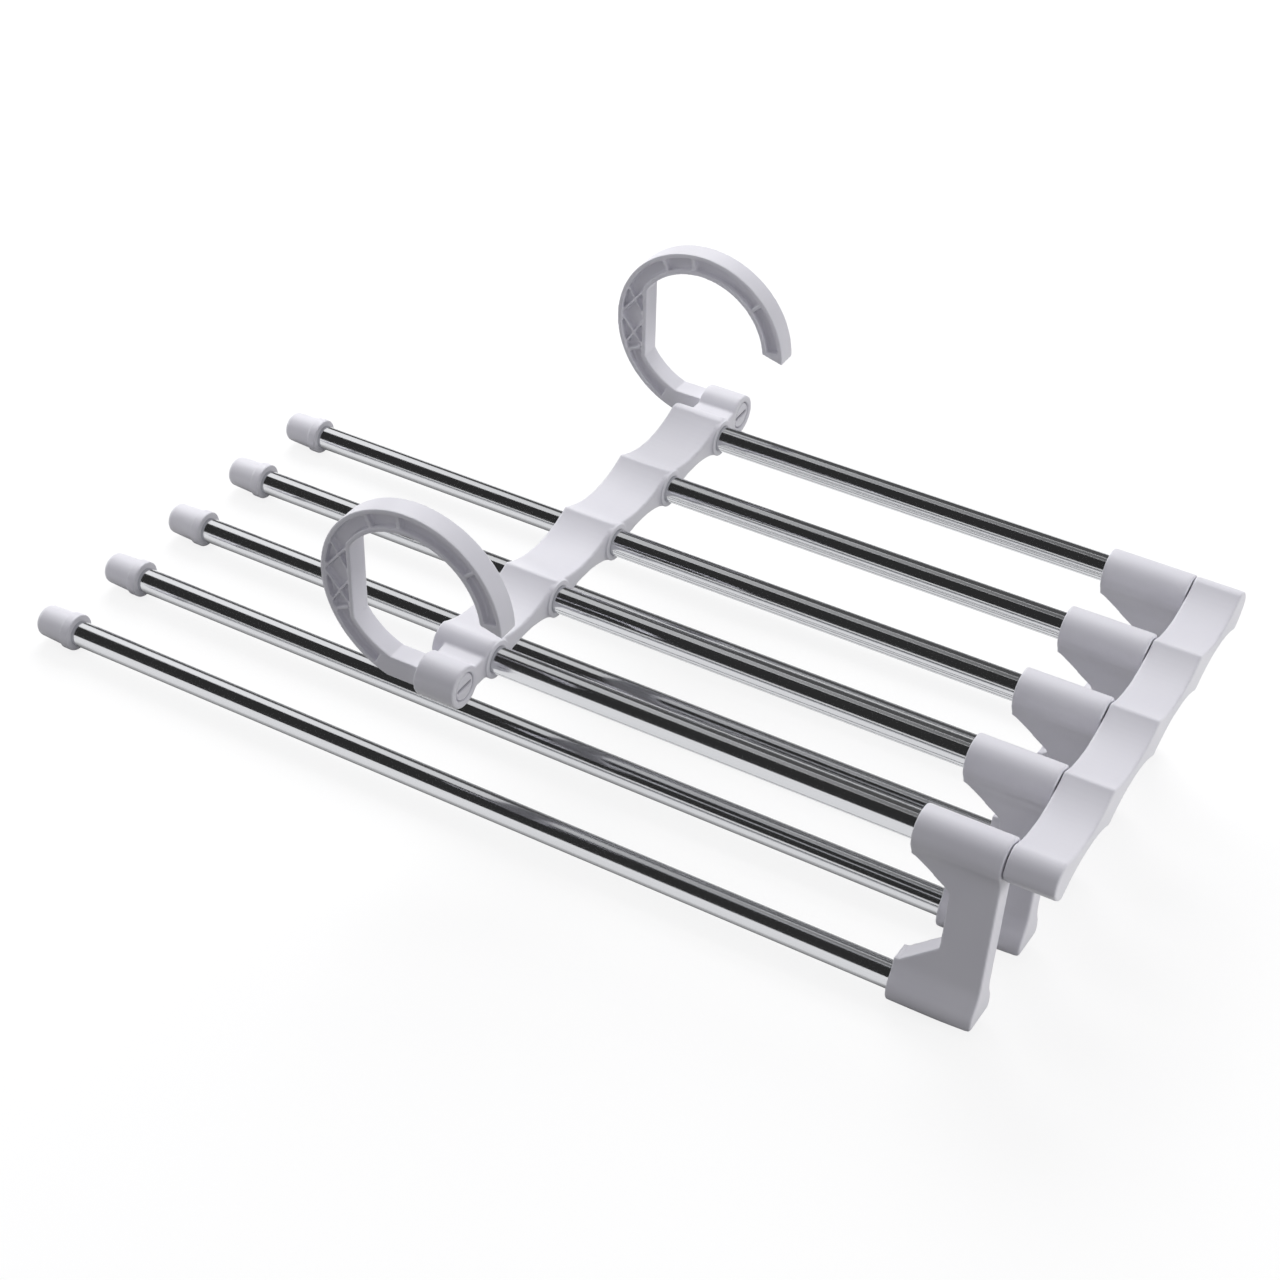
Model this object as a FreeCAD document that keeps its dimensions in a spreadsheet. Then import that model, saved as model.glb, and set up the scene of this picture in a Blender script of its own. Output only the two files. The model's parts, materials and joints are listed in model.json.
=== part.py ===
import FreeCAD, Part
import math
import os
import re

import Sketcher
from FreeCAD import Placement, Rotation, Vector

# Trouser hanger with five swinging tiers. Two moulded bars hold five parallel upper rods, each upper rod
# carries a C-shaped bracket, and each bracket holds a longer lower rod for one garment. A ring hook turns
# in a socket at each end of the centre bar.
# X runs along the rods towards the outer bar, Y from the front tier to the rear one, Z is up.
# The origin is under the middle of the hanger, on the surface that it stands on.

# Driving dimensions, in millimetres and degrees
SIZES = {
    # layout of the tiers
    "tier_count": 5,
    "rod_pitch": 36,
    "tier_drop": 56.7,
    "tier_lean": 6,
    "upper_run": 144.6,
    "lower_run": 313.7,
    # tubes and their seats
    "rod_radius": 4.5,
    "rod_wall": 0.7,
    "bar_seat": 12,
    "end_play": 0.5,
    # running fits
    "running_fit": 0.08,
    "side_gap": 0.3,
    # swing bracket
    "bracket_length": 28,
    "boss_radius": 7.2,
    "blank_margin": 1,
    "arm_under": 7.2,
    "arm_land": 0.5,
    "throat_depth": 13.2,
    "throat_top": 16,
    "throat_bottom": 36.5,
    "lip_land": 1.5,
    "lip_rise": 10.2,
    "foot_rise": 3.2,
    "heel_drop": 0.4,
    "foot_round": 2,
    "waist_half": 4,
    "waist_blend": 12,
    "lower_seat": 24,
    # scalloped bars
    "crest": 7,
    "valley": 2.5,
    "end_belly": 14,
    "outer_bar_width": 16,
    "centre_bar_width": 19,
    "collar_radius": 6.3,
    "collar_length": 1,
    # hook sockets at the ends of the centre bar
    "socket_reach": 16.5,
    "socket_radius": 7.2,
    "socket_length": 14.5,
    "neck_half": 4,
    # end cap
    "cap_length": 15.2,
    "cap_radius": 6.2,
    "cap_floor": 3.5,
    # ring hook
    "ring_back": 16.75,
    "ring_rise": 27.35,
    "ring_outer": 32.7,
    "ring_inner": 25,
    "ring_width": 7.6,
    "spine_flat": 21.1,
    "tip_inner_rise": 2.5,
    "tip_outer_rise": 0.5,
    "foot_half": 3.8,
    "rim": 1.6,
    "recess_depth": 2.5,
    "recess_start": 8,
    "recess_end": 243,
    "rib_half": 0.7,
    "rib_set_back": 0.5,
    "rib_bite": 0.8,
    "lattice_top": 13,
    "lattice_step": 12,
    # hook shaft and its slotted snap head
    "shaft_radius": 3.5,
    "head_radius": 4.5,
    "counterbore_depth": 2.5,
    "counterbore_gap": 0.3,
    "slot_half": 0.6,
    "slot_length": 9,
}

# Directions of the cross ribs in the hook's recess, seen from the front, from +X towards +Z
CROSS_RIB_ANGLES = (42, 97, 120, 205)

doc = FreeCAD.newDocument("trouser_hanger")
sheet = doc.addObject("Spreadsheet::Sheet", "Sizes")
for row, (alias, size) in enumerate(SIZES.items(), 1):
    sheet.set(f"A{row}", alias)
    sheet.set(f"B{row}", str(size))
    sheet.setAlias(f"B{row}", alias)
doc.recompute()


def formula(text):
    """Point the words of a formula at the cells of the sheet; a word before a bracket is a function."""
    return re.sub(r"[a-z_]+\b(?!\()", r"Sizes.\g<0>", text)


def number(text):
    """The value of a formula."""
    return float(sheet.evalExpression(formula(text)))


def bind(item, name, text):
    """Drive one property with a formula."""
    item.setExpression(name, formula(text))


# Formulas that several pieces share
TIERS = int(number("tier_count"))
ROD_SPAN = "(tier_count - 1) * rod_pitch"
ENTRY_X = "(lower_run + cap_length - bracket_length - side_gap - outer_bar_width) / 2"
UPPER_Z = "tier_drop * cos(tier_lean) + boss_radius"
SCALLOP_RADIUS = "((rod_pitch / 2)^2 + (crest - valley)^2) / (2 * (crest - valley))"


def add_body(label):
    body = doc.addObject("PartDesign::Body", label)
    body.Label = label
    return body


def place(body, x, y, z, turn="0"):
    """Put a body in the hanger's frame, turned about the X direction."""
    body.Placement = Placement(Vector(), Rotation(Vector(1, 0, 0), 1))
    bind(body, "Placement.Base.x", x)
    bind(body, "Placement.Base.y", y)
    bind(body, "Placement.Base.z", z)
    bind(body, "Placement.Rotation.Angle", turn)


def place_in_tier(body, tier, lean="-tier_lean"):
    """Tier pieces share one frame: the upper rod's axis at the bracket's mouth, leaning with the tier."""
    place(body, ENTRY_X, f"({tier} - (tier_count + 1) / 2) * rod_pitch", UPPER_Z, lean)


def origin_part(body, role):
    return next(item for item in body.Origin.OriginFeatures if item.Role == role)


def add_sketch(body, name, role, up="0", out="0"):
    """A sketch on one of the body's own planes, moved up in that plane and out along its normal."""
    sketch = body.newObject("Sketcher::SketchObject", name)
    sketch.AttachmentSupport = [(origin_part(body, role), "")]
    sketch.MapMode = "FlatFace"
    bind(sketch, "AttachmentOffset.Base.y", up)
    bind(sketch, "AttachmentOffset.Base.z", out)
    return sketch


def constrain(sketch, kind, text, *where):
    index = sketch.addConstraint(Sketcher.Constraint(kind, *where, number(text)))
    bind(sketch, f"Constraints[{index}]", text)


def arc_between(start, end, radius, side):
    """The short arc from start to end that turns to the given side, stored counter-clockwise."""
    chord = end - start
    middle = (start + end) * 0.5
    normal = Vector(-chord.y, chord.x, 0).normalize()
    sag = math.sqrt(max(radius**2 - chord.Length**2 / 4, 0))
    centre = middle + normal * (sag if side == "left" else -sag)
    if side == "right":
        start, end = end, start
    first = math.atan2(start.y - centre.y, start.x - centre.x)
    last = math.atan2(end.y - centre.y, end.x - centre.x)
    if last < first:
        last += 2 * math.pi
    return Part.ArcOfCircle(Part.Circle(centre, Vector(0, 0, 1), radius), first, last)


def draw_outline(sketch, corners):
    """A closed outline. A corner is (across, up), or (across, up, side, radius) where an arc leaves it."""
    points = [Vector(number(corner[0]), number(corner[1]), 0) for corner in corners]
    runs = []
    for index, corner in enumerate(corners):
        start = points[index]
        end = points[(index + 1) % len(points)]
        if len(corner) == 2:
            geometry = sketch.addGeometry(Part.LineSegment(start, end), False)
            runs.append((geometry, 1, 2))
        else:
            side, radius = corner[2:]
            geometry = sketch.addGeometry(arc_between(start, end, number(radius), side), False)
            runs.append((geometry, 1, 2) if side == "left" else (geometry, 2, 1))
    for index, (geometry, head, tail) in enumerate(runs):
        before, _, before_tail = runs[index - 1]
        sketch.addConstraint(Sketcher.Constraint("Coincident", before, before_tail, geometry, head))
    for corner, (geometry, head, tail) in zip(corners, runs):
        constrain(sketch, "DistanceX", corner[0], geometry, head)
        constrain(sketch, "DistanceY", corner[1], geometry, head)
        if len(corner) > 2:
            constrain(sketch, "Radius", corner[3], geometry)


def draw_circle(sketch, across, up, radius):
    centre = Vector(number(across), number(up), 0)
    geometry = sketch.addGeometry(Part.Circle(centre, Vector(0, 0, 1), number(radius)), False)
    constrain(sketch, "DistanceX", across, geometry, 3)
    constrain(sketch, "DistanceY", up, geometry, 3)
    constrain(sketch, "Radius", radius, geometry)


def add_feature(body, kind, name, sketch, length=None, both_ways=False, backwards=False):
    """A pad or pocket of a sketch, cut right through where it has no length."""
    feature = body.newObject(f"PartDesign::{kind}", name)
    feature.Profile = sketch
    feature.Midplane = both_ways
    feature.Reversed = backwards
    if length is None:
        feature.Type = "ThroughAll"
    else:
        bind(feature, "Length", length)
    return feature


def add_turned(body, name, sketch):
    """A revolution about the sketch's own horizontal axis."""
    feature = body.newObject("PartDesign::Revolution", name)
    feature.Profile = sketch
    feature.ReferenceAxis = (sketch, ["H_Axis"])
    feature.Angle = 360
    return feature


def make_bracket(tier):
    """A C-shaped arm, waisted like a dog bone when seen along the rods."""
    body = add_body(f"bracket_{tier}")

    side_view = add_sketch(body, f"bracket_{tier}_side_view", "XZ_Plane")
    sole = "-tier_drop - boss_radius"
    draw_outline(side_view, [
        ("0", "boss_radius + blank_margin"),
        ("bracket_length", "boss_radius + blank_margin"),
        ("bracket_length", f"{sole} + foot_rise + foot_round", "right", "foot_round"),
        ("bracket_length - foot_round", f"{sole} + foot_rise"),
        ("0", f"{sole} - heel_drop"),
        ("0", "-tier_drop + lip_rise"),
        ("lip_land", "-tier_drop + lip_rise"),
        ("throat_depth", "-throat_bottom"),
        ("throat_depth", "-throat_top"),
        ("arm_land", "-arm_under"),
        ("0", "-arm_under"),
    ])
    add_feature(body, "Pad", f"bracket_{tier}_blank", side_view, "2 * (boss_radius + blank_margin)",
                both_ways=True)

    end_view = add_sketch(body, f"bracket_{tier}_end_view", "YZ_Plane")
    reach = "(waist_half + waist_blend)"
    span = "(boss_radius + waist_blend)"
    fall = f"sqrt({span}^2 - {reach}^2)"
    blend_y = f"{reach} * boss_radius / {span}"
    blend_z = f"{fall} * boss_radius / {span}"
    draw_outline(end_view, [
        ("0", "boss_radius", "right", "boss_radius"),
        (blend_y, f"-{blend_z}", "left", "waist_blend"),
        ("waist_half", f"-{fall}"),
        ("waist_half", f"-tier_drop + {fall}", "left", "waist_blend"),
        (blend_y, f"-tier_drop + {blend_z}", "right", "boss_radius"),
        ("0", sole, "right", "boss_radius"),
        (f"-{blend_y}", f"-tier_drop + {blend_z}", "left", "waist_blend"),
        ("-waist_half", f"-tier_drop + {fall}"),
        ("-waist_half", f"-{fall}", "left", "waist_blend"),
        (f"-{blend_y}", f"-{blend_z}", "right", "boss_radius"),
    ])
    draw_outline(end_view, [
        ("-2 * boss_radius", "2 * boss_radius"),
        ("2 * boss_radius", "2 * boss_radius"),
        ("2 * boss_radius", "-tier_drop - 2 * boss_radius"),
        ("-2 * boss_radius", "-tier_drop - 2 * boss_radius"),
    ])
    add_feature(body, "Pocket", f"bracket_{tier}_waist", end_view, backwards=True)

    bores = (
        ("upper", "0", "rod_radius + running_fit", "bracket_length"),
        ("lower", "-tier_drop", "rod_radius", "lower_seat"),
    )
    for name, up, radius, length in bores:
        bore = add_sketch(body, f"bracket_{tier}_{name}_bore_circle", "YZ_Plane")
        draw_circle(bore, "0", up, radius)
        add_feature(body, "Pocket", f"bracket_{tier}_{name}_bore", bore, length, backwards=True)

    place_in_tier(body, tier)
    return body


def make_tube(label, left, right, up):
    """A plain tube along X."""
    body = add_body(label)
    profile = add_sketch(body, f"{label}_wall", "XZ_Plane", up=up)
    draw_outline(profile, [
        (left, "rod_radius - rod_wall"),
        (left, "rod_radius"),
        (right, "rod_radius"),
        (right, "rod_radius - rod_wall"),
    ])
    add_turned(body, f"{label}_tube", profile)
    return body


def make_upper_rod(tier):
    """Pressed into both bars; its bracket swings on it."""
    left = "-upper_run - bar_seat"
    right = "bracket_length + side_gap + bar_seat"
    body = make_tube(f"upper_rod_{tier}", left, right, "0")
    place_in_tier(body, tier, lean="0")
    return body


def make_lower_rod(tier):
    """Pressed into its bracket at one end and into its cap at the other."""
    left = "-lower_run - cap_length + cap_floor"
    body = make_tube(f"lower_rod_{tier}", left, "lower_seat", "-tier_drop")
    place_in_tier(body, tier)
    return body


def make_end_cap(tier):
    """A thimble on the free end of the lower rod."""
    body = add_body(f"end_cap_{tier}")
    profile = add_sketch(body, f"end_cap_{tier}_section", "XZ_Plane", up="-tier_drop")
    closed = "-lower_run - cap_length"
    mouth = "-lower_run"
    draw_outline(profile, [
        (closed, "0"),
        (closed, "cap_radius"),
        (mouth, "cap_radius"),
        (mouth, "rod_radius"),
        (f"{closed} + cap_floor", "rod_radius"),
        (f"{closed} + cap_floor", "0"),
    ])
    add_turned(body, f"end_cap_{tier}_turned", profile)
    place_in_tier(body, tier)
    return body


def draw_scalloped_bar(sketch):
    """Creased over and under each rod, hollowed between them, round at both ends and flatter under them.

    Rod 1 is at the origin.
    """
    rods = [f"{index} * rod_pitch" for index in range(TIERS)]
    top = [(across, "crest", "left", SCALLOP_RADIUS) for across in rods[:-1]]
    bottom = [(across, "-crest", "left", SCALLOP_RADIUS) for across in reversed(rods[1:])]
    far_end = [(rods[-1], "crest", "right", "crest"), (f"{rods[-1]} + crest", "0", "right", "end_belly")]
    near_end = [(rods[0], "-crest", "right", "end_belly"), ("-crest", "0", "right", "crest")]
    draw_outline(sketch, top + far_end + bottom + near_end)


def add_rod_bores(body, mouth, backwards):
    """A row of blind bores that the upper rods are pressed into."""
    circles = add_sketch(body, f"{body.Label}_bore_circles", "YZ_Plane", out=mouth)
    for index in range(TIERS):
        draw_circle(circles, f"{index} * rod_pitch", "0", "rod_radius")
    depth = f"bar_seat + end_play + {mouth}"
    add_feature(body, "Pocket", f"{body.Label}_bores", circles, depth, backwards=backwards)


def make_outer_bar():
    """Closes the row of brackets; its flat outer face has no openings."""
    body = add_body("outer_bar")
    outline = add_sketch(body, "outer_bar_outline", "YZ_Plane")
    draw_scalloped_bar(outline)
    add_feature(body, "Pad", "outer_bar_blank", outline, "outer_bar_width")
    add_rod_bores(body, "0", backwards=True)
    place(body, f"{ENTRY_X} + bracket_length + side_gap", f"-{ROD_SPAN} / 2", UPPER_Z)
    return body


def draw_socket(sketch, base, way, side):
    """A keyhole outline: a short neck from an end rod, and a round socket beyond it."""
    centre = f"{base} {way} socket_reach"
    root = f"{base} {way} (socket_reach - sqrt(socket_radius^2 - neck_half^2))"
    draw_outline(sketch, [
        (base, "neck_half"),
        (root, "neck_half", side, "socket_radius"),
        (centre, "socket_radius", side, "socket_radius"),
        (f"{centre} {way} socket_radius", "0", side, "socket_radius"),
        (centre, "-socket_radius", side, "socket_radius"),
        (root, "-neck_half"),
        (base, "-neck_half"),
    ])


def make_centre_bar():
    """Carries the inner ends of the upper rods and a hook socket at each end."""
    body = add_body("centre_bar")
    outline = add_sketch(body, "centre_bar_outline", "YZ_Plane")
    draw_scalloped_bar(outline)
    add_feature(body, "Pad", "centre_bar_blank", outline, "centre_bar_width", backwards=True)

    sockets = add_sketch(body, "centre_bar_socket_outline", "YZ_Plane")
    draw_socket(sockets, "0", "-", "left")
    draw_socket(sockets, ROD_SPAN, "+", "right")
    add_feature(body, "Pad", "centre_bar_sockets", sockets, "socket_length", backwards=True)

    collars = add_sketch(body, "centre_bar_collar_circles", "YZ_Plane")
    for index in range(TIERS):
        draw_circle(collars, f"{index} * rod_pitch", "0", "collar_radius")
    add_feature(body, "Pad", "centre_bar_collars", collars, "collar_length")

    ends = ("-socket_reach", f"{ROD_SPAN} + socket_reach")
    bores = (
        ("shaft_bore", "shaft_radius + running_fit", None),
        ("head_recess", "head_radius + counterbore_gap", "counterbore_depth"),
    )
    for name, radius, depth in bores:
        circles = add_sketch(body, f"centre_bar_{name}_circles", "YZ_Plane")
        for across in ends:
            draw_circle(circles, across, "0", radius)
        add_feature(body, "Pocket", f"centre_bar_{name}", circles, depth)
    add_rod_bores(body, "collar_length", backwards=False)
    place(body, f"{ENTRY_X} - upper_run", f"-{ROD_SPAN} / 2", UPPER_Z)
    return body


def ring_point(radius, angle):
    """A point of the hook's ring, by its radius and its direction from the ring's centre."""
    return (f"-ring_back + ({radius}) * cos({angle})", f"ring_rise + ({radius}) * sin({angle})")


def draw_hook(sketch):
    """An open ring with a flat inside its spine and a straight foot that leads into the shaft."""
    foot_end = "-socket_length - side_gap"
    flat_rise = "sqrt(ring_inner^2 - spine_flat^2)"
    outer_foot = "-ring_back - sqrt(ring_outer^2 - (ring_rise + foot_half)^2)"
    inner_foot = "-ring_back - sqrt(ring_inner^2 - (ring_rise - foot_half)^2)"
    draw_outline(sketch, [
        ("-ring_back + sqrt(ring_inner^2 - tip_inner_rise^2)", "ring_rise + tip_inner_rise"),
        ("-ring_back + sqrt(ring_outer^2 - tip_outer_rise^2)", "ring_rise + tip_outer_rise",
         "left", "ring_outer"),
        ("-ring_back", "ring_rise + ring_outer", "left", "ring_outer"),
        ("-ring_back - ring_outer", "ring_rise", "left", "ring_outer"),
        (outer_foot, "-foot_half"),
        (foot_end, "-foot_half"),
        (foot_end, "foot_half"),
        (inner_foot, "foot_half", "right", "ring_inner"),
        ("-ring_back - spine_flat", f"ring_rise - {flat_rise}"),
        ("-ring_back - spine_flat", f"ring_rise + {flat_rise}", "right", "ring_inner"),
        ("-ring_back", "ring_rise + ring_inner", "right", "ring_inner"),
    ])


def draw_recess(sketch):
    """The hollow between the hook's two rims, on one face."""
    outer = "(ring_outer - rim)"
    inner = "(ring_inner + rim)"
    flat = "(spine_flat + rim)"
    flat_rise = f"sqrt({inner}^2 - {flat}^2)"
    draw_outline(sketch, [
        ring_point(inner, "recess_start"),
        ring_point(outer, "recess_start") + ("left", outer),
        ring_point(outer, "90") + ("left", outer),
        ring_point(outer, "180") + ("left", outer),
        ring_point(outer, "recess_end"),
        ring_point(inner, "recess_end") + ("right", inner),
        (f"-ring_back - {flat}", f"ring_rise - {flat_rise}"),
        (f"-ring_back - {flat}", f"ring_rise + {flat_rise}", "right", inner),
        ring_point(inner, "90") + ("right", inner),
    ])


def draw_rib(sketch, start, end, half_x, half_z):
    """A straight rib between two points, widened both ways by a half width."""
    draw_outline(sketch, [
        (f"{start[0]} - {half_x}", f"{start[1]} - {half_z}"),
        (f"{end[0]} - {half_x}", f"{end[1]} - {half_z}"),
        (f"{end[0]} + {half_x}", f"{end[1]} + {half_z}"),
        (f"{start[0]} + {half_x}", f"{start[1]} + {half_z}"),
    ])


def lattice_ends(step):
    """The points on both rims of the spine at one level of its lattice."""
    level = f"(lattice_top - {step} * lattice_step)"
    outer = f"-ring_back - sqrt((ring_outer - rib_bite)^2 - {level}^2)"
    return (outer, f"ring_rise + {level}"), ("-ring_back - spine_flat - rib_bite", f"ring_rise + {level}")


def make_hook(label, y):
    """A ring hook of I section: two rims, a web, cross ribs and a lattice in its spine."""
    body = add_body(label)
    outline = add_sketch(body, f"{label}_outline", "XZ_Plane")
    draw_hook(outline)
    add_feature(body, "Pad", f"{label}_blank", outline, "ring_width", both_ways=True)

    hollow = add_sketch(body, f"{label}_recess_outline", "XZ_Plane", out="ring_width / 2")
    draw_recess(hollow)
    recess = add_feature(body, "Pocket", f"{label}_recess", hollow, "recess_depth")
    doc.recompute()
    recesses = body.newObject("PartDesign::Mirrored", f"{label}_recesses")
    recesses.Originals = [recess]
    recesses.MirrorPlane = (origin_part(body, "XZ_Plane"), [""])
    body.Tip = recesses

    falling = add_sketch(body, f"{label}_falling_ribs", "XZ_Plane")
    rising = add_sketch(body, f"{label}_rising_ribs", "XZ_Plane")
    for step in range(2):
        outer_top, inner_top = lattice_ends(step)
        outer_bottom, inner_bottom = lattice_ends(step + 1)
        draw_rib(falling, outer_top, inner_bottom, "0", "rib_half")
        draw_rib(rising, inner_top, outer_bottom, "0", "rib_half")
    for angle in CROSS_RIB_ANGLES:
        start = ring_point("ring_inner + rib_bite", angle)
        end = ring_point("ring_outer - rib_bite", angle)
        draw_rib(falling, start, end, f"rib_half * sin({angle})", f"-rib_half * cos({angle})")
    for sketch in (falling, rising):
        add_feature(body, "Pad", f"{sketch.Name}_pad", sketch, "ring_width - 2 * rib_set_back",
                    both_ways=True)

    shaft = add_sketch(body, f"{label}_shaft_section", "XZ_Plane")
    shoulder = "-counterbore_depth + side_gap"
    draw_outline(shaft, [
        ("-socket_length - side_gap", "0"),
        ("-socket_length - side_gap", "shaft_radius"),
        (shoulder, "shaft_radius"),
        (shoulder, "head_radius"),
        ("-side_gap", "head_radius"),
        ("-side_gap", "0"),
    ])
    add_turned(body, f"{label}_shaft", shaft)

    slot = add_sketch(body, f"{label}_slot_outline", "XZ_Plane")
    draw_outline(slot, [
        ("-slot_length", "-slot_half"),
        ("0", "-slot_half"),
        ("0", "slot_half"),
        ("-slot_length", "slot_half"),
    ])
    add_feature(body, "Pocket", f"{label}_slot", slot, "ring_width", both_ways=True)
    place(body, f"{ENTRY_X} - upper_run", y, UPPER_Z)
    return body


def check_document():
    """Stop if anything failed, or if a cut took nothing away."""
    for item in doc.Objects:
        if "Invalid" in item.State or "Error" in item.State:
            raise RuntimeError(f"{item.Name} failed: {item.State}")
        if item.TypeId == "PartDesign::Pocket":
            removed = item.BaseFeature.Shape.Volume - item.Shape.Volume
            if removed < 1e-3:
                raise RuntimeError(f"{item.Name} cuts nothing")


def write_parts(bodies):
    os.makedirs("parts", exist_ok=True)
    for body in bodies:
        shape = body.Shape
        if shape.isNull() or not shape.isValid() or len(shape.Solids) != 1:
            raise RuntimeError(f"{body.Label} is not one sound solid")
        shape.exportStep(os.path.join("parts", f"{body.Label}.step"))


bodies = [make_centre_bar(), make_outer_bar()]
for tier in range(1, TIERS + 1):
    for make in (make_bracket, make_upper_rod, make_lower_rod, make_end_cap):
        bodies.append(make(tier))
bodies.append(make_hook("front_hook", f"-{ROD_SPAN} / 2 - socket_reach"))
bodies.append(make_hook("rear_hook", f"{ROD_SPAN} / 2 + socket_reach"))

doc.recompute()
check_document()
write_parts(bodies)
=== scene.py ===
import json
import math
from collections import namedtuple

import bmesh
import bpy
from bpy.props import FloatProperty, FloatVectorProperty, IntProperty, PointerProperty
from mathutils import Matrix, Vector

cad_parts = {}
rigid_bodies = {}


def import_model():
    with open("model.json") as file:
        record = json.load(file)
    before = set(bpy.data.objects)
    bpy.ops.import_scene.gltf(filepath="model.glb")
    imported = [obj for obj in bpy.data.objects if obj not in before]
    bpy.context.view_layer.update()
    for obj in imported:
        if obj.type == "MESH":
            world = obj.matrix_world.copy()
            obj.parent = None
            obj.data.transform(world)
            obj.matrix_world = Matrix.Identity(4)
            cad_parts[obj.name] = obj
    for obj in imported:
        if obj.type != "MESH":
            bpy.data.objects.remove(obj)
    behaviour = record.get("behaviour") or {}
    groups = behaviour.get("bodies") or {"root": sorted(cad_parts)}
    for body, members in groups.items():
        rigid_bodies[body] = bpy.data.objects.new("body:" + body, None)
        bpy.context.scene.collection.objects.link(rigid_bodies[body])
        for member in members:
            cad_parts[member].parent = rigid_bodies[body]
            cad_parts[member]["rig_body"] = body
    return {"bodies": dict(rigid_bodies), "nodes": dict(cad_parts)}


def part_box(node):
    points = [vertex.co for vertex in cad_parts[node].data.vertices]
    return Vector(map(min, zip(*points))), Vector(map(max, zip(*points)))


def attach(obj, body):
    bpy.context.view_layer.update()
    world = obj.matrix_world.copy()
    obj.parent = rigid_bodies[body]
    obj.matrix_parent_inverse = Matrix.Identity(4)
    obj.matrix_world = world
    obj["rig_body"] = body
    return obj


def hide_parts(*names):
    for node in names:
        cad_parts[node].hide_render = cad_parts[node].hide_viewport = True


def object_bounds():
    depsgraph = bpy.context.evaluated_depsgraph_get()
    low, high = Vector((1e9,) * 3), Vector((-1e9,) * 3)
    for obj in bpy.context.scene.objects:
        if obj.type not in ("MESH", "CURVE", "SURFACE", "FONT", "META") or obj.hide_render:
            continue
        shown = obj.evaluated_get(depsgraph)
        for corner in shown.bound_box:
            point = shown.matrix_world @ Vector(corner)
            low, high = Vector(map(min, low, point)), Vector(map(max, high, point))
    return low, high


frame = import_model()
CAD_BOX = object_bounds()

bl_info = {
    "name": "Trouser hanger finish",
    "version": (1, 0, 0),
    "blender": (4, 5, 0),
    "location": "View3D > Sidebar > Hanger",
    "description": "Finishes the packed trouser hanger in moulded ABS and drawn stainless tube",
    "category": "Object",
}

MM = 0.001
# Points nearer to each other than this are welded into one
WELD = 0.001 * MM
# From the front tier to the rear one
TIER_NUMBERS = sorted(name.removeprefix("tier_") for name in frame["bodies"] if name.startswith("tier_"))

# The photo's camera, fitted to the rods' centre lines
CAMERA_EYE = Vector((0.322896, -0.561387, 0.538736))
CAMERA_AZIMUTH = math.radians(29.259)
CAMERA_ELEVATION = math.radians(38.517)
CAMERA_ROLL = math.radians(1.554)
CAMERA_LENS_MM = 68.76
SENSOR_MM = 36.0

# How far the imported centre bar's own collars stand off its face
COLLAR_IN_CAD = 1.0 * MM

# How often a moulding's surface is smoothed to ease its edges, and how far a point goes each time
BRACKET_PASSES = 8
BAR_PASSES = 6
HOOK_PASSES = 5
PASS_SHARE = 0.5

# Nearly all values of a noise texture lie between these two
NOISE_LOW = 0.3
NOISE_HIGH = 0.7

# One end of a studio card: the angles in degrees where it starts and stops, counted from the rear horizon
# up over the top, and how bright it is there
CardEnd = namedtuple("CardEnd", "start stop level")

# What the rods mirror above them; each card has its right end first
CARDS = {
    "rear_card": (CardEnd(6.0, 57.0, 0.10), CardEnd(4.0, 32.0, 0.10)),
    "overhead_strip": (CardEnd(60.0, 86.0, 0.15), CardEnd(34.0, 81.0, 1.15)),
    "front_card": (CardEnd(88.0, 164.0, 0.035), CardEnd(84.0, 169.0, 0.035)),
}

# A square lamp: its place and its width in metres, and its power in watts
Softbox = namedtuple("Softbox", "place width watts")

SOFTBOXES = {
    "rear_softbox": Softbox((-0.45, 0.8, 0.85), 0.9, 13.5),
    "right_softbox": Softbox((1.1, 0.0, 0.22), 0.4, 3.8),
    "left_softbox": Softbox((-0.75, -0.2, 0.3), 0.4, 1.15),
}


def linear(code):
    """An sRGB hex colour as linear red, green, blue and alpha."""
    channels = [int(code[start:start + 2], 16) / 255 for start in (1, 3, 5)]
    return tuple(c / 12.92 if c <= 0.04045 else ((c + 0.055) / 1.055) ** 2.4 for c in channels) + (1.0,)


def add_node(tree, kind, inputs=None, **settings):
    """Add a node with its settings, and feed its sockets with values or with other nodes' outputs."""
    node = tree.nodes.new(kind)
    for name, value in settings.items():
        setattr(node, name, value)
    for socket, value in (inputs or {}).items():
        if isinstance(value, bpy.types.NodeSocket):
            tree.links.new(value, node.inputs[socket])
        else:
            node.inputs[socket].default_value = value
    return node


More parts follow.
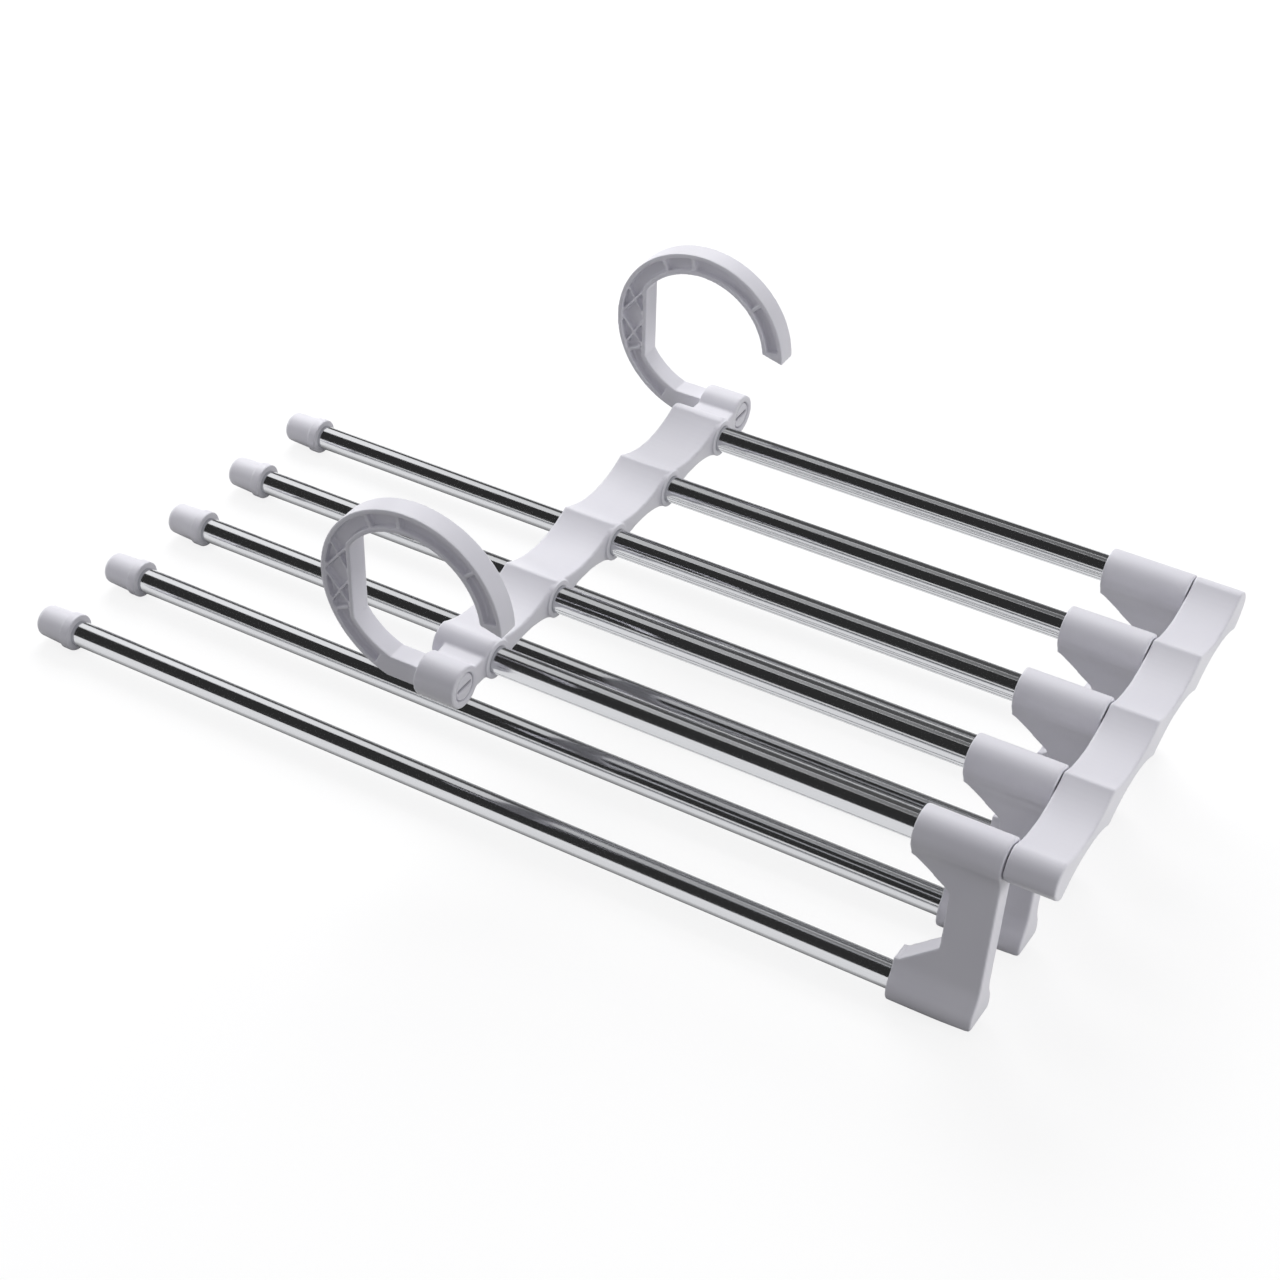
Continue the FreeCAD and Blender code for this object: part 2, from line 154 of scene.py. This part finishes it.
class HangerSizes(bpy.types.PropertyGroup):
    """Sizes of the visible details, on top of those that the frame gives."""

    tube_wall: FloatProperty(
        name="Tube wall",
        description="Wall thickness of the rods",
        default=0.7 * MM,
        unit="LENGTH",
    )
    turned_sides: IntProperty(
        name="Sides",
        description="Flats round each turned piece",
        default=96,
        min=16,
    )
    cap_nose_radius: FloatProperty(
        name="Cap nose",
        description="Radius of an end cap at its closed end",
        default=5.5 * MM,
        unit="LENGTH",
    )
    cap_barrel_radius: FloatProperty(
        name="Cap barrel",
        description="Radius of an end cap beside its lip",
        default=6.0 * MM,
        unit="LENGTH",
    )
    cap_lip_radius: FloatProperty(
        name="Cap lip",
        description="Radius of the lip round an end cap's mouth",
        default=6.6 * MM,
        unit="LENGTH",
    )
    cap_lip_length: FloatProperty(
        name="Lip length",
        description="Length of the lip along the rod",
        default=3.2 * MM,
        unit="LENGTH",
    )
    cap_nose_round: FloatProperty(
        name="Nose rounding",
        description="Rounding of the closed end",
        default=2.2 * MM,
        unit="LENGTH",
    )
    cap_floor: FloatProperty(
        name="Cap floor",
        description="Thickness of the closed end",
        default=3.5 * MM,
        unit="LENGTH",
    )
    collar_radius: FloatProperty(
        name="Collar radius",
        description="Radius of the collar where a rod enters the centre bar",
        default=6.4 * MM,
        unit="LENGTH",
    )
    collar_length: FloatProperty(
        name="Collar length",
        description="How far a collar stands off the centre bar",
        default=1.1 * MM,
        unit="LENGTH",
    )
    seat_plug: FloatProperty(
        name="Seat plug",
        description="Solid plastic behind a lower rod, where the foot's sole slopes up to its seat",
        default=4.0 * MM,
        unit="LENGTH",
    )
    bracket_grain: FloatProperty(
        name="Bracket grain",
        description="Edge length of the faces on the brackets",
        default=0.4 * MM,
        unit="LENGTH",
    )
    bar_grain: FloatProperty(
        name="Bar grain",
        description="Edge length of the faces on the bars",
        default=0.45 * MM,
        unit="LENGTH",
    )
    hook_grain: FloatProperty(
        name="Hook grain",
        description="Edge length of the faces on the hooks",
        default=0.32 * MM,
        unit="LENGTH",
    )


class HangerFinish(bpy.types.PropertyGroup):
    """Colours of the finishes."""

    abs_colour: FloatVectorProperty(
        name="ABS",
        description="Colour of the mouldings",
        default=linear("#ECEBF0"),
        subtype="COLOR",
        size=4,
        min=0,
        max=1,
    )
    abs_shade: FloatVectorProperty(
        name="ABS shade",
        description="Colour where the melt cooled last",
        default=linear("#E5E4EB"),
        subtype="COLOR",
        size=4,
        min=0,
        max=1,
    )
    steel_colour: FloatVectorProperty(
        name="Steel",
        description="Colour of the polished tube",
        default=linear("#D4D5D8"),
        subtype="COLOR",
        size=4,
        min=0,
        max=1,
    )
    floor_colour: FloatVectorProperty(
        name="Floor",
        description="Colour of the floor",
        default=linear("#FFFFFF"),
        subtype="COLOR",
        size=4,
        min=0,
        max=1,
    )


def sizes():
    """The sizes as the user has set them."""
    return bpy.context.scene.hanger_sizes


def finish():
    """The colours as the user has set them."""
    return bpy.context.scene.hanger_finish


def blank_material(name):
    """A material whose node tree is still empty."""
    material = bpy.data.materials.new(name)
    material.use_nodes = True
    material.node_tree.nodes.clear()
    return material


def moulded_abs():
    """The white plastic of the bars, brackets, hooks, collars and caps."""
    # ABS, injection-moulded in a finely eroded mould: highlights are wide and soft on a faintly pebbled
    # skin, and where the melt cooled last it is a touch greyer and duller
    found = bpy.data.materials.get("Moulded ABS")
    if found:
        return found
    # the real pebbles are a few tenths of a millimetre wide; these are coarser so that they show
    pebble_mm = 0.9
    pebble_depth = 0.02 * MM
    pebble_strength = 0.12
    # the width of the places that cooled early or late
    drift_mm = 22.0
    glossy_roughness, dull_roughness = 0.34, 0.44
    abs_ior = 1.52
    material = blank_material("Moulded ABS")
    tree = material.node_tree
    place = add_node(tree, "ShaderNodeTexCoord").outputs["Object"]
    pebble = add_node(tree, "ShaderNodeTexNoise", {
        "Vector": place, "Scale": 1 / (pebble_mm * MM), "Detail": 2.0})
    drift = add_node(tree, "ShaderNodeTexNoise", {
        "Vector": place, "Scale": 1 / (drift_mm * MM), "Detail": 1.0})
    colour = add_node(tree, "ShaderNodeMix", {
        "Factor": drift.outputs["Fac"], "A": finish().abs_colour, "B": finish().abs_shade}, data_type="RGBA")
    gloss = add_node(tree, "ShaderNodeMapRange", {
        "Value": drift.outputs["Fac"], "From Min": NOISE_LOW, "From Max": NOISE_HIGH,
        "To Min": glossy_roughness, "To Max": dull_roughness})
    skin = add_node(tree, "ShaderNodeBump", {
        "Strength": pebble_strength, "Distance": pebble_depth, "Height": pebble.outputs["Fac"]})
    shader = add_node(tree, "ShaderNodeBsdfPrincipled", {
        "Base Color": colour.outputs["Result"], "Roughness": gloss.outputs["Result"], "IOR": abs_ior,
        "Normal": skin.outputs["Normal"]})
    add_node(tree, "ShaderNodeOutputMaterial", {"Surface": shader.outputs["BSDF"]})
    return material


def drawn_stainless():
    """The bright tube of the rods."""
    # stainless steel, drawn through a die and polished: it mirrors the studio as sharp dark and bright bands
    # along the rod, which fine draw lines blur a little
    found = bpy.data.materials.get("Drawn stainless steel")
    if found:
        return found
    # real draw lines are some hundredths of a millimetre wide; these are coarser so that they show
    line_mm = 0.8
    line_length_mm = 160.0
    line_depth = 0.01 * MM
    line_strength = 0.03
    bright_roughness, lined_roughness = 0.11, 0.17
    material = blank_material("Drawn stainless steel")
    tree = material.node_tree
    place = add_node(tree, "ShaderNodeTexCoord").outputs["Object"]
    drawn = add_node(tree, "ShaderNodeMapping", {
        "Vector": place, "Scale": (line_mm / line_length_mm, 1.0, 1.0)})
    lines = add_node(tree, "ShaderNodeTexNoise", {
        "Vector": drawn.outputs["Vector"], "Scale": 1 / (line_mm * MM), "Detail": 0.0})
    gloss = add_node(tree, "ShaderNodeMapRange", {
        "Value": lines.outputs["Fac"], "From Min": NOISE_LOW, "From Max": NOISE_HIGH,
        "To Min": bright_roughness, "To Max": lined_roughness})
    skin = add_node(tree, "ShaderNodeBump", {
        "Strength": line_strength, "Distance": line_depth, "Height": lines.outputs["Fac"]})
    shader = add_node(tree, "ShaderNodeBsdfPrincipled", {
        "Base Color": finish().steel_colour, "Roughness": gloss.outputs["Result"], "Metallic": 1.0,
        "Normal": skin.outputs["Normal"]})
    add_node(tree, "ShaderNodeOutputMaterial", {"Surface": shader.outputs["BSDF"]})
    return material


def turned_tree():
    """A node tree that turns the object's own section about a line along X."""
    found = bpy.data.node_groups.get("Turned piece")
    if found:
        return found
    tree = bpy.data.node_groups.new("Turned piece", "GeometryNodeTree")
    inputs = (
        ("Section", "NodeSocketGeometry"),
        ("Hub radius", "NodeSocketFloat"),
        ("Sides", "NodeSocketInt"),
        ("Axis", "NodeSocketVector"),
        ("Finish", "NodeSocketMaterial"),
    )
    for name, kind in inputs:
        tree.interface.new_socket(name, in_out="INPUT", socket_type=kind)
    tree.interface.new_socket("Piece", in_out="OUTPUT", socket_type="NodeSocketGeometry")
    upright_to_along_x = (0.0, -math.pi / 2, 0.0)
    given = add_node(tree, "NodeGroupInput").outputs
    circle = add_node(tree, "GeometryNodeCurvePrimitiveCircle", {
        "Resolution": given["Sides"], "Radius": given["Hub radius"]})
    sweep = add_node(tree, "GeometryNodeCurveToMesh", {
        "Curve": circle.outputs["Curve"], "Profile Curve": given["Section"]})
    welded = add_node(tree, "GeometryNodeMergeByDistance", {
        "Geometry": sweep.outputs["Mesh"], "Distance": WELD})
    laid = add_node(tree, "GeometryNodeTransform", {
        "Geometry": welded.outputs["Geometry"], "Rotation": upright_to_along_x,
        "Translation": given["Axis"]})
    real = add_node(tree, "GeometryNodeRealizeInstances", {"Geometry": laid.outputs["Geometry"]})
    dressed = add_node(tree, "GeometryNodeSetMaterial", {
        "Geometry": real.outputs["Geometry"], "Material": given["Finish"]})
    add_node(tree, "NodeGroupOutput", {"Piece": dressed.outputs["Geometry"]})
    return tree


def add_object(name, data):
    """A new object in the scene, at the origin."""
    item = bpy.data.objects.new(name, data)
    bpy.context.scene.collection.objects.link(item)
    return item


def evaluated_mesh(item):
    """The object's mesh with its modifiers applied."""
    return bpy.data.meshes.new_from_object(item.evaluated_get(bpy.context.evaluated_depsgraph_get()))


def rounded(corners):
    """Points along a section (radius, x) whose corners, given a third number, are rounded by that radius."""
    steps = 6
    points = []
    for index, corner in enumerate(corners):
        here = Vector(corner[:2])
        if len(corner) < 3:
            points.append(here)
            continue
        back = (Vector(corners[index - 1][:2]) - here).normalized()
        ahead = (Vector(corners[index + 1][:2]) - here).normalized()
        half = back.angle(ahead) / 2
        centre = here + (back + ahead).normalized() * corner[2] / math.sin(half)
        start = here + back * corner[2] / math.tan(half) - centre
        end = here + ahead * corner[2] / math.tan(half) - centre
        sweep = start.angle_signed(end)
        for step in range(steps + 1):
            points.append(centre + Matrix.Rotation(-sweep * step / steps, 2) @ start)
    return points


def turned_piece(name, section, closed, axis, material):
    """A piece of revolution about the line along X through axis; a section point is (radius, x)."""
    # the section is swept along a circle of this radius, so its points are placed from there
    hub = 1.0 * MM
    crease = math.radians(40)
    curve = bpy.data.curves.new(f"{name}_section", "CURVE")
    curve.dimensions = "3D"
    spline = curve.splines.new("POLY")
    spline.points.add(len(section) - 1)
    for point, (radius, x) in zip(spline.points, section):
        point.co = (radius - hub, x, 0.0, 1.0)
    spline.use_cyclic_u = closed
    pattern = add_object(f"{name}_pattern", curve)
    tree = turned_tree()
    given = {"Hub radius": hub, "Sides": sizes().turned_sides, "Axis": axis, "Finish": material}
    turn = pattern.modifiers.new("Turn", "NODES")
    turn.node_group = tree
    for socket in tree.interface.items_tree:
        if socket.in_out == "INPUT" and socket.name in given:
            turn[socket.identifier] = given[socket.name]
    mesh = evaluated_mesh(pattern)
    bpy.data.objects.remove(pattern)
    mesh.name = name
    mesh.shade_smooth()
    mesh.set_sharp_from_angle(angle=crease)
    return add_object(name, mesh)


def soft_copy(name, node, grain, passes, plug=None):
    """A moulding with the CAD node's own shape, its edges eased as a mould leaves them.

    A plug, given by its middle, radius and length along X, closes the end of a bore.
    """
    plug_sides = 48
    mesh = frame["nodes"][node].data.copy()
    shape = bmesh.new()
    shape.from_mesh(mesh)
    bmesh.ops.remove_doubles(shape, verts=shape.verts, dist=WELD)
    if plug:
        middle, radius, length = plug
        laid = Matrix.Translation(middle) @ Matrix.Rotation(math.pi / 2, 4, "Y")
        bmesh.ops.create_cone(
            shape, cap_ends=True, segments=plug_sides, radius1=radius, radius2=radius, depth=length,
            matrix=laid)
    shape.to_mesh(mesh)
    shape.free()
    pattern = add_object(f"{name}_pattern", mesh)
    skin = pattern.modifiers.new("Skin", "REMESH")
    skin.mode = "VOXEL"
    skin.voxel_size = grain
    ease = pattern.modifiers.new("Ease edges", "SMOOTH")
    ease.factor = PASS_SHARE
    ease.iterations = passes
    finished = evaluated_mesh(pattern)
    bpy.data.objects.remove(pattern)
    finished.name = name
    finished.materials.clear()
    finished.materials.append(moulded_abs())
    finished.shade_smooth()
    return add_object(name, finished)


def stands_for(piece, node):
    """Let a piece take the place of one CAD node, on that node's body."""
    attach(piece, frame["nodes"][node]["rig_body"])
    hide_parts(node)


def axis_of(node):
    """The middle of a round node's axis, its radius and the two ends along X."""
    low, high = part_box(node)
    centre = (low + high) / 2
    radius = max(high.y - low.y, high.z - low.z) / 2
    return Vector((0.0, centre.y, centre.z)), radius, low.x, high.x


class HANGER_OT_rods(bpy.types.Operator):
    """Make the upper and lower rods from drawn stainless tube"""

    bl_idname = "hanger.rods"
    bl_label = "Rods"

    def execute(self, context):
        for level, short in (("upper_rod", 0.0), ("lower_rod", sizes().seat_plug)):
            for number in TIER_NUMBERS:
                node = f"{level}_{number}"
                axis, radius, left, right = axis_of(node)
                right -= short
                inner = radius - sizes().tube_wall
                section = [(inner, left), (radius, left), (radius, right), (inner, right)]
                piece = turned_piece(f"{node}_tube", section, True, axis, drawn_stainless())
                stands_for(piece, node)
        return {"FINISHED"}


class HANGER_OT_end_caps(bpy.types.Operator):
    """Make the lipped thimbles on the free ends of the lower rods"""

    bl_idname = "hanger.end_caps"
    bl_label = "End caps"

    def execute(self, context):
        own = sizes()
        edge = 0.45 * MM
        for number in TIER_NUMBERS:
            node = f"end_cap_{number}"
            axis, _, closed, mouth = axis_of(node)
            bore = axis_of(f"lower_rod_{number}")[1]
            lip = mouth - own.cap_lip_length
            section = rounded([
                (0.0, closed),
                (own.cap_nose_radius, closed, own.cap_nose_round),
                (own.cap_barrel_radius, lip - edge, edge / 2),
                (own.cap_lip_radius, lip, edge / 2),
                (own.cap_lip_radius, mouth, edge),
                (bore, mouth),
                (bore, closed + own.cap_floor),
                (0.0, closed + own.cap_floor),
            ])
            piece = turned_piece(f"{node}_thimble", section, False, axis, moulded_abs())
            stands_for(piece, node)
        return {"FINISHED"}


class HANGER_OT_brackets(bpy.types.Operator):
    """Make the C-shaped swing brackets"""

    bl_idname = "hanger.brackets"
    bl_label = "Brackets"

    def execute(self, context):
        own = sizes()
        # how far the plug overlaps the seat's wall, and how far it is raised to stay inside the sole
        overlap = 0.05 * MM
        lift = 0.25 * MM
        for number in TIER_NUMBERS:
            node = f"bracket_{number}"
            upper = axis_of(f"upper_rod_{number}")[0]
            lower, radius, _, seat = axis_of(f"lower_rod_{number}")
            middle = lower + (upper - lower).normalized() * lift
            middle.x = seat - own.seat_plug / 2
            plug = middle, radius + overlap, own.seat_plug + 2 * overlap
            piece = soft_copy(f"{node}_moulding", node, own.bracket_grain, BRACKET_PASSES, plug)
            stands_for(piece, node)
        return {"FINISHED"}


class HANGER_OT_bars(bpy.types.Operator):
    """Make the scalloped centre and outer bars"""

    bl_idname = "hanger.bars"
    bl_label = "Bars"

    def execute(self, context):
        for node in ("centre_bar", "outer_bar"):
            piece = soft_copy(f"{node}_moulding", node, sizes().bar_grain, BAR_PASSES)
            stands_for(piece, node)
        return {"FINISHED"}


class HANGER_OT_collars(bpy.types.Operator):
    """Make the crisp collars where the rods enter the centre bar"""

    bl_idname = "hanger.collars"
    bl_label = "Collars"

    def execute(self, context):
        own = sizes()
        edge = 0.3 * MM
        sunk = 0.8 * MM
        body = frame["nodes"]["centre_bar"]["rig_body"]
        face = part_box("centre_bar")[1].x - COLLAR_IN_CAD
        front = face + own.collar_length
        for number in TIER_NUMBERS:
            axis, bore, _, _ = axis_of(f"upper_rod_{number}")
            section = rounded([
                (bore, face - sunk),
                (own.collar_radius, face - sunk),
                (own.collar_radius, front, edge),
                (bore + edge, front),
                (bore, front - edge),
            ])
            piece = turned_piece(f"collar_{number}_ring", section, True, axis, moulded_abs())
            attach(piece, body)
        return {"FINISHED"}


class HANGER_OT_hooks(bpy.types.Operator):
    """Make the ribbed ring hooks"""

    bl_idname = "hanger.hooks"
    bl_label = "Hooks"

    def execute(self, context):
        for node in ("front_hook", "rear_hook"):
            piece = soft_copy(f"{node}_moulding", node, sizes().hook_grain, HOOK_PASSES)
            stands_for(piece, node)
        return {"FINISHED"}


def shown_to_eye(tree):
    """1 for rays from the camera, a mirror or clear stuff, 0 for rays that light other surfaces."""
    path = add_node(tree, "ShaderNodeLightPath").outputs
    mirrored = add_node(tree, "ShaderNodeMath", {
        0: path["Is Camera Ray"], 1: path["Is Glossy Ray"]}, operation="MAXIMUM")
    cleared = add_node(tree, "ShaderNodeMath", {
        0: mirrored.outputs[0], 1: path["Is Transmission Ray"]}, operation="MAXIMUM")
    return cleared.outputs[0]


def matt_white_board():
    """The floor's finish."""
    # painted board: it has no gloss, looks white to the camera and in the rods, and takes a soft shadow,
    # with a painted contact shadow that only rods close above it mirror
    # how much of its white comes from the lamps; the rest is a glow that only the eye and the rods get
    board_level = 0.2
    # the glow near the hanger and far from it, and these distances in metres
    near_glow, far_glow = 0.84, 0.92
    near, far = 0.35, 1.4
    # the painted contact shadow in the glow: how high above the board a rod still darkens it, how strongly,
    # and how finely that is sampled
    contact_reach = 8 * MM
    contact_depth = 2.0
    contact_samples = 8
    # a rod further from the board than this doesn't mirror the painted contact shadow
    close_by = 15 * MM
    material = blank_material("Matt white board")
    tree = material.node_tree
    colour = tuple(finish().floor_colour)
    matt = add_node(tree, "ShaderNodeBsdfDiffuse", {
        "Color": tuple(board_level * channel for channel in colour[:3]) + (1.0,)})
    # the board glows more where the lamps reach it less, so that it stays evenly white
    place = add_node(tree, "ShaderNodeTexCoord").outputs["Object"]
    distance = add_node(tree, "ShaderNodeVectorMath", {0: place}, operation="LENGTH")
    glow = add_node(tree, "ShaderNodeMapRange", {
        "Value": distance.outputs["Value"], "From Min": near, "From Max": far,
        "To Min": near_glow, "To Max": far_glow}, interpolation_type="SMOOTHSTEP")
    shown = add_node(tree, "ShaderNodeMath", {
        0: shown_to_eye(tree), 1: glow.outputs["Result"]}, operation="MULTIPLY")
    white = add_node(tree, "ShaderNodeEmission", {"Color": colour, "Strength": shown.outputs[0]})
    # painted contact shadow: close under a rod the board's glow is darkened by ambient occlusion, and a rod
    # just above it mirrors that along its lower edge, while the camera sees the plain glow
    open_above = add_node(tree, "ShaderNodeAmbientOcclusion", {
        "Distance": contact_reach}, samples=contact_samples)
    shade = add_node(tree, "ShaderNodeMath", {
        0: open_above.outputs["AO"], 1: contact_depth}, operation="POWER")
    painted_shadow_glow = add_node(tree, "ShaderNodeMath", {
        0: glow.outputs["Result"], 1: shade.outputs[0]}, operation="MULTIPLY")
    mirrored = add_node(tree, "ShaderNodeEmission", {"Color": colour, "Strength": painted_shadow_glow.outputs[0]})
    path = add_node(tree, "ShaderNodeLightPath").outputs
    close = add_node(tree, "ShaderNodeMath", {
        0: path["Ray Length"], 1: close_by}, operation="LESS_THAN")
    from_rod = add_node(tree, "ShaderNodeMath", {
        0: path["Is Glossy Ray"], 1: close.outputs[0]}, operation="MULTIPLY")
    # glossy rays from a rod close by get the glow with the painted contact shadow, all other rays the plain
    # glow
    seen = add_node(tree, "ShaderNodeMixShader", {
        0: from_rod.outputs[0], 1: white.outputs[0], 2: mirrored.outputs[0]})
    both = add_node(tree, "ShaderNodeAddShader", {0: matt.outputs[0], 1: seen.outputs[0]})
    add_node(tree, "ShaderNodeOutputMaterial", {"Surface": both.outputs[0]})
    return material


def make_floor():
    """A wide level board under the hanger."""
    half = 3.0
    mesh = bpy.data.meshes.new("floor")
    corners = [(-half, -half, 0.0), (half, -half, 0.0), (half, half, 0.0), (-half, half, 0.0)]
    mesh.from_pydata(corners, [], [(0, 1, 2, 3)])
    mesh.materials.append(matt_white_board())
    add_object("floor", mesh)


def make_card(name, right, left):
    """A curved studio card along X that only mirrors see, with its own span and level at either end."""
    reach = 1.6
    half_length = 2.4
    columns, rows = 48, 24
    # to the right of these places along X the span and the level are the right end's
    span_right = -0.45
    level_right = -0.22
    # to the left of this place both are the left end's
    all_left = -1.05
    points = []
    for column in range(columns + 1):
        x = half_length * (2 * column / columns - 1)
        share = min(max((span_right - x) / (span_right - all_left), 0.0), 1.0)
        start = right.start + (left.start - right.start) * share
        stop = right.stop + (left.stop - right.stop) * share
        for row in range(rows + 1):
            angle = math.radians(start + (stop - start) * row / rows)
            points.append((x, reach * math.cos(angle), reach * math.sin(angle)))
    faces = []
    for column in range(columns):
        for row in range(rows):
            corner = column * (rows + 1) + row
            faces.append((corner, corner + 1, corner + rows + 2, corner + rows + 1))
    mesh = bpy.data.meshes.new(name)
    mesh.from_pydata(points, [], faces)
    material = blank_material(name)
    tree = material.node_tree
    place = add_node(tree, "ShaderNodeTexCoord").outputs["Object"]
    along = add_node(tree, "ShaderNodeSeparateXYZ", {"Vector": place})
    level = add_node(tree, "ShaderNodeMapRange", {
        "Value": along.outputs["X"], "From Min": all_left, "From Max": level_right,
        "To Min": left.level, "To Max": right.level})
    card = add_node(tree, "ShaderNodeEmission", {
        "Color": linear("#FFFFFF"), "Strength": level.outputs["Result"]})
    add_node(tree, "ShaderNodeOutputMaterial", {"Surface": card.outputs[0]})
    mesh.materials.append(material)
    item = add_object(name, mesh)
    item.visible_camera = False
    item.visible_diffuse = False
    item.visible_transmission = False
    item.visible_shadow = False


def make_softbox(name, softbox):
    """A square lamp aimed at the hanger's middle, neither seen nor mirrored in the rods."""
    lamp = bpy.data.lights.new(name, "AREA")
    lamp.size = softbox.width
    lamp.energy = softbox.watts
    item = add_object(name, lamp)
    item.location = softbox.place
    aim = (CAD_BOX[0] + CAD_BOX[1]) / 2 - Vector(softbox.place)
    item.rotation_euler = aim.to_track_quat("-Z", "Y").to_euler()
    item.visible_camera = False
    item.visible_glossy = False


def light_world():
    """Even soft light from all round, on a background that looks white."""
    soft_level = 0.355
    white_level = 1.0
    world = bpy.data.worlds.new("Studio")
    bpy.context.scene.world = world
    world.use_nodes = True
    tree = world.node_tree
    tree.nodes.clear()
    soft = add_node(tree, "ShaderNodeBackground", {"Color": linear("#F4F4FA"), "Strength": soft_level})
    white = add_node(tree, "ShaderNodeBackground", {"Color": linear("#FFFFFF"), "Strength": white_level})
    mixed = add_node(tree, "ShaderNodeMixShader", {
        0: shown_to_eye(tree), 1: soft.outputs[0], 2: white.outputs[0]})
    add_node(tree, "ShaderNodeOutputWorld", {"Surface": mixed.outputs[0]})


def make_camera():
    """The photo's view: a level frame at an azimuth and elevation, then rolled about the line of sight."""
    azimuth, elevation, roll = CAMERA_AZIMUTH, CAMERA_ELEVATION, CAMERA_ROLL
    back = Vector((
        math.sin(azimuth) * math.cos(elevation),
        -math.cos(azimuth) * math.cos(elevation),
        math.sin(elevation),
    ))
    level_right = Vector((math.cos(azimuth), math.sin(azimuth), 0.0))
    level_up = back.cross(level_right)
    right = level_right * math.cos(roll) + level_up * math.sin(roll)
    up = level_up * math.cos(roll) - level_right * math.sin(roll)
    data = bpy.data.cameras.new("photo_view")
    data.lens = CAMERA_LENS_MM
    data.sensor_width = SENSOR_MM
    camera = add_object("photo_view", data)
    turn = Matrix((right, up, back)).transposed().to_4x4()
    camera.matrix_world = Matrix.Translation(CAMERA_EYE) @ turn
    bpy.context.scene.camera = camera


class HANGER_OT_stage(bpy.types.Operator):
    """Set up the floor, the studio light and the photo's camera"""

    bl_idname = "hanger.stage"
    bl_label = "Stage"

    def execute(self, context):
        make_floor()
        for name, (right, left) in CARDS.items():
            make_card(name, right, left)
        for name, softbox in SOFTBOXES.items():
            make_softbox(name, softbox)
        light_world()
        make_camera()
        context.scene.view_settings.view_transform = "Standard"
        return {"FINISHED"}


class HANGER_PT_finish(bpy.types.Panel):
    """Sizes, colours and steps of the hanger's finish"""

    bl_idname = "HANGER_PT_finish"
    bl_label = "Trouser hanger"
    bl_space_type = "VIEW_3D"
    bl_region_type = "UI"
    bl_category = "Hanger"

    def draw(self, context):
        for group in (context.scene.hanger_sizes, context.scene.hanger_finish):
            for name in group.__annotations__:
                self.layout.prop(group, name)
        for operator in OPERATORS:
            self.layout.operator(operator.bl_idname)


OPERATORS = (
    HANGER_OT_rods,
    HANGER_OT_end_caps,
    HANGER_OT_brackets,
    HANGER_OT_bars,
    HANGER_OT_collars,
    HANGER_OT_hooks,
    HANGER_OT_stage,
)
CLASSES = (HangerSizes, HangerFinish) + OPERATORS + (HANGER_PT_finish,)


def register():
    for item in CLASSES:
        bpy.utils.register_class(item)
    bpy.types.Scene.hanger_sizes = PointerProperty(type=HangerSizes)
    bpy.types.Scene.hanger_finish = PointerProperty(type=HangerFinish)


def unregister():
    del bpy.types.Scene.hanger_finish
    del bpy.types.Scene.hanger_sizes
    for item in reversed(CLASSES):
        bpy.utils.unregister_class(item)


def main():
    register()
    bpy.ops.hanger.rods()
    bpy.ops.hanger.end_caps()
    bpy.ops.hanger.brackets()
    bpy.ops.hanger.bars()
    bpy.ops.hanger.collars()
    bpy.ops.hanger.hooks()
    bpy.ops.hanger.stage()


if __name__ == "__main__":
    main()
